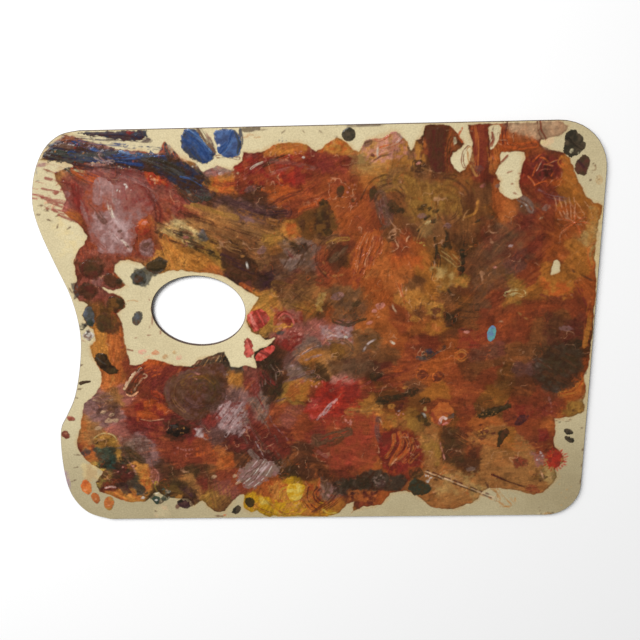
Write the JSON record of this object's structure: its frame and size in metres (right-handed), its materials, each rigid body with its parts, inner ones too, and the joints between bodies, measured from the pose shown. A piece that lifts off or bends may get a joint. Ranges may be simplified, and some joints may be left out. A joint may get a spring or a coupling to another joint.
{
  "type": "painter's palette",
  "caption": "Flat oblong hand palette with a thumb hole and a finger notch, cream enamelled face covered in dried oil paint.",
  "frame": {"origin": "middle of the panel's 400 x 300 mm rectangle, on the bare back face", "axes": "+X along the width, away from the finger notch; +Y along the height, towards the top edge; +Z out of the painted face"},
  "size_m": [0.4, 0.3, 0.0061],
  "materials": {
    "hardboard": "bare hardboard, screen texture on the back",
    "cream_enamel": "brushed cream enamel, worn and stained",
    "brown_oil_film": "dried linseed oil and thinned paint, glossy, wrinkled in places",
    "ultramarine_paint": "dried oil paint, semi-gloss",
    "mauve_paint": "dried oil paint, satin",
    "umber_paint": "dried oil paint, satin",
    "olive_paint": "dried oil paint, satin",
    "slate_paint": "dried oil paint, satin",
    "black_paint": "dried oil paint, semi-gloss",
    "red_brown_paint": "dried oil paint, semi-gloss",
    "rose_paint": "dried oil paint, semi-gloss",
    "lilac_paint": "dried oil paint, satin",
    "crimson_paint": "dried oil paint, semi-gloss",
    "orange_paint": "dried oil paint, semi-gloss",
    "ochre_paint": "dried oil paint, semi-gloss",
    "white_paint": "dried oil paint, semi-gloss",
    "green_paint": "dried oil paint, semi-gloss",
    "teal_paint": "dried oil paint, semi-gloss",
    "red_paint": "dried oil paint, semi-gloss",
    "blue_black_paint": "dried oil paint, semi-gloss"
  },
  "bodies": {
    "root": {"hardboard_core": "hardboard", "face_enamel": "cream_enamel", "oil_film": "brown_oil_film", "ultramarine_dab_left": "ultramarine_paint", "ultramarine_dab_right": "ultramarine_paint", "mauve_patch": "mauve_paint", "mauve_tail_dab": "mauve_paint", "umber_lobe_first": "umber_paint", "umber_lobe_second": "umber_paint", "umber_lobe_third": "umber_paint", "umber_lobe_fourth": "olive_paint", "olive_lobe": "olive_paint", "slate_dab_left": "slate_paint", "slate_dab_centre": "slate_paint", "olive_dab_centre": "olive_paint", "black_dab_thumb": "black_paint", "umber_swirl": "umber_paint", "peeled_skin": "red_brown_paint", "rose_daub_upper": "rose_paint", "rose_daub_side": "rose_paint", "rose_daub_lower": "rose_paint", "lilac_brush_mark": "lilac_paint", "olive_dab_lower": "olive_paint", "red_dab_right": "red_brown_paint", "black_blot_right": "black_paint", "maroon_blot_right": "crimson_paint", "olive_blotch": "olive_paint", "umber_patch_centre": "umber_paint", "olive_patch_upper": "olive_paint", "wrinkled_skin": "orange_paint", "yellow_pool": "ochre_paint", "orange_dab_centre": "orange_paint", "blue_grey_dab": "slate_paint", "black_dab_upper": "black_paint", "olive_spot_left": "olive_paint", "olive_spot_centre": "olive_paint", "black_dab_left": "black_paint", "orange_dab_corner_upper": "orange_paint", "orange_dab_corner_middle": "orange_paint", "orange_dab_corner_lower": "ochre_paint", "red_brown_dab_edge_upper": "red_brown_paint", "red_brown_dab_edge_lower": "red_brown_paint", "white_dab_edge": "white_paint", "black_dab_bottom_upper": "black_paint", "black_dab_bottom_lower": "black_paint", "plum_dab_bottom": "crimson_paint", "green_dab_bottom": "green_paint", "teal_chip": "teal_paint", "scarlet_splash": "red_paint", "black_dab_right_upper": "black_paint", "black_dab_right_lower": "black_paint", "ultramarine_smear": "blue_black_paint", "umber_edge_smear": "umber_paint", "umber_runoff": "umber_paint", "red_brown_runoff": "red_brown_paint", "black_tick": "black_paint", "olive_bar": "olive_paint", "black_dab_tailed": "black_paint"}
  },
  "joints": []
}
